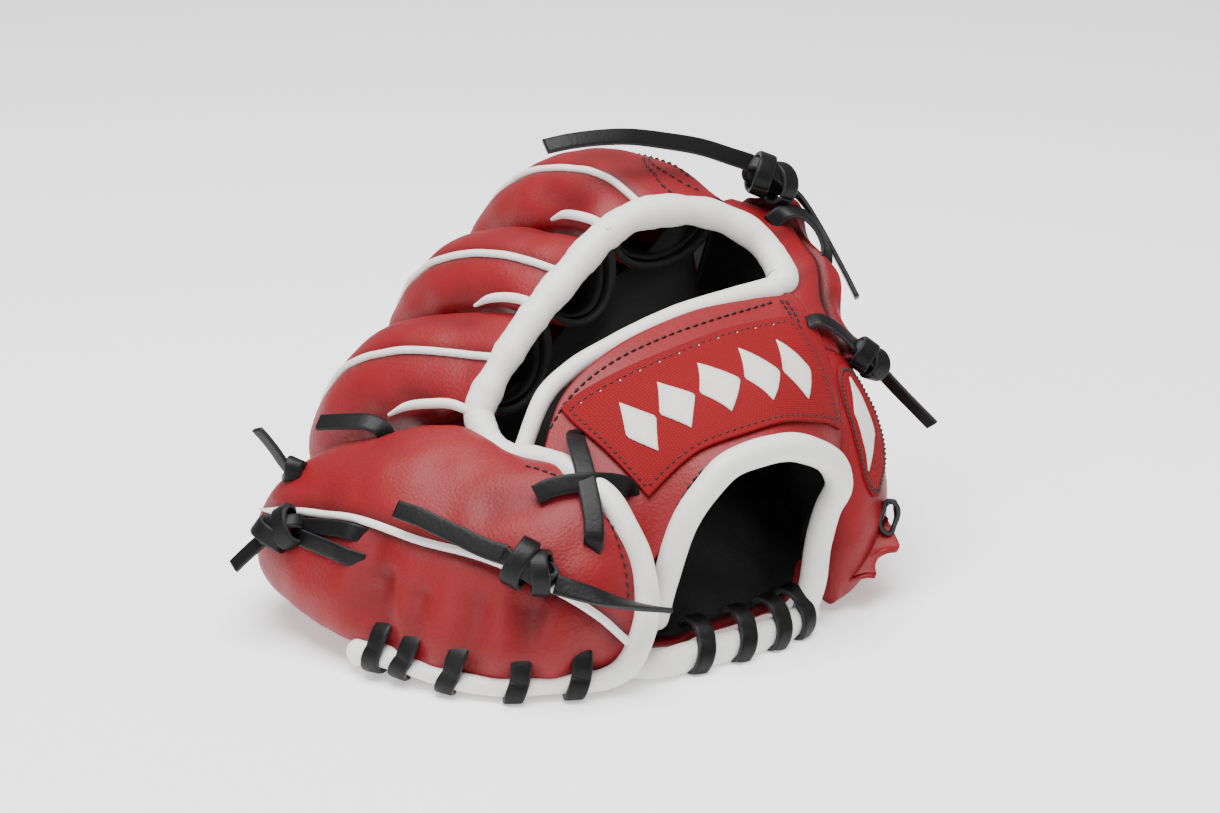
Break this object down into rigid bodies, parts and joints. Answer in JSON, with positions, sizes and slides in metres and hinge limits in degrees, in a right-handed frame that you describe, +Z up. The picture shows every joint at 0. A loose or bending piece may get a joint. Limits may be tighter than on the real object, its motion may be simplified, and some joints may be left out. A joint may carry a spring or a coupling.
{
  "type": "baseball fielder's glove",
  "caption": "Left-hand leather baseball glove resting palm down, with separate finger stalls, a wrist strap, rolled bindings and tied rawhide laces.",
  "frame": {"origin": "on the ground under the middle of the glove's box, glove resting palm down", "axes": "+X to the thumb side, +Y the way the fingers point, +Z up through the back of the hand"},
  "size_m": [0.2226, 0.1915, 0.1503],
  "materials": {
    "red_leather": "semi-gloss grained cowhide",
    "black_leather": "matte lining leather",
    "white_binding": "smooth coated binding leather",
    "rawhide_lace": "waxed black rawhide",
    "palm_felt": "pressed wool felt",
    "embroidered_patch": "plain satin-stitched cloth"
  },
  "bodies": {
    "hand": {"index_stall": "red_leather", "middle_stall": "red_leather", "ring_stall": "red_leather", "pinky_stall": "red_leather", "palm_shell": "red_leather", "palm_crease": "red_leather", "wrist_strap": "red_leather", "index_thumb_bridge": "red_leather", "web_panel": "red_leather", "index_liner": "black_leather", "middle_liner": "black_leather", "ring_liner": "black_leather", "pinky_liner": "black_leather", "palm_lining": "black_leather", "strap_lining": "black_leather", "strap_roll": "white_binding", "knuckle_roll": "white_binding", "wrist_roll": "white_binding", "heel_roll": "white_binding", "panel_roll": "white_binding", "index_welt": "white_binding", "middle_welt": "white_binding", "ring_welt": "white_binding", "pinky_welt": "white_binding", "index_middle_crotch_welt": "white_binding", "middle_ring_crotch_welt": "white_binding", "ring_pinky_crotch_welt": "white_binding", "heel_lace": "rawhide_lace", "panel_lace": "rawhide_lace", "strap_lace_upright": "rawhide_lace", "strap_lace_cross": "rawhide_lace", "pinky_knot": "rawhide_lace", "pinky_tail_upper": "rawhide_lace", "pinky_tail_lower": "rawhide_lace", "finger_lace": "rawhide_lace", "finger_knot": "rawhide_lace", "web_knot": "rawhide_lace", "web_tail_long": "rawhide_lace", "web_tail_short": "rawhide_lace", "web_lace_index": "rawhide_lace", "web_lace_thumb": "rawhide_lace", "palm_pad": "palm_felt", "strap_patch": "embroidered_patch"},
    "thumb": {"thumb_stall": "red_leather", "thumb_liner": "black_leather", "thumb_patch": "embroidered_patch", "thumb_welt": "white_binding", "thumb_knot": "rawhide_lace"}
  },
  "joints": [
    {"name": "pocket_close", "type": "hinge", "parent": "hand", "child": "thumb", "pos_m": [0.0492, -0.0801, 0.0127], "axis": [0.2715, 0.4751, 0.837], "range_deg": [-5, 18], "deforming": ["palm_crease", "web_panel", "web_lace_index", "web_lace_thumb"]}
  ]
}
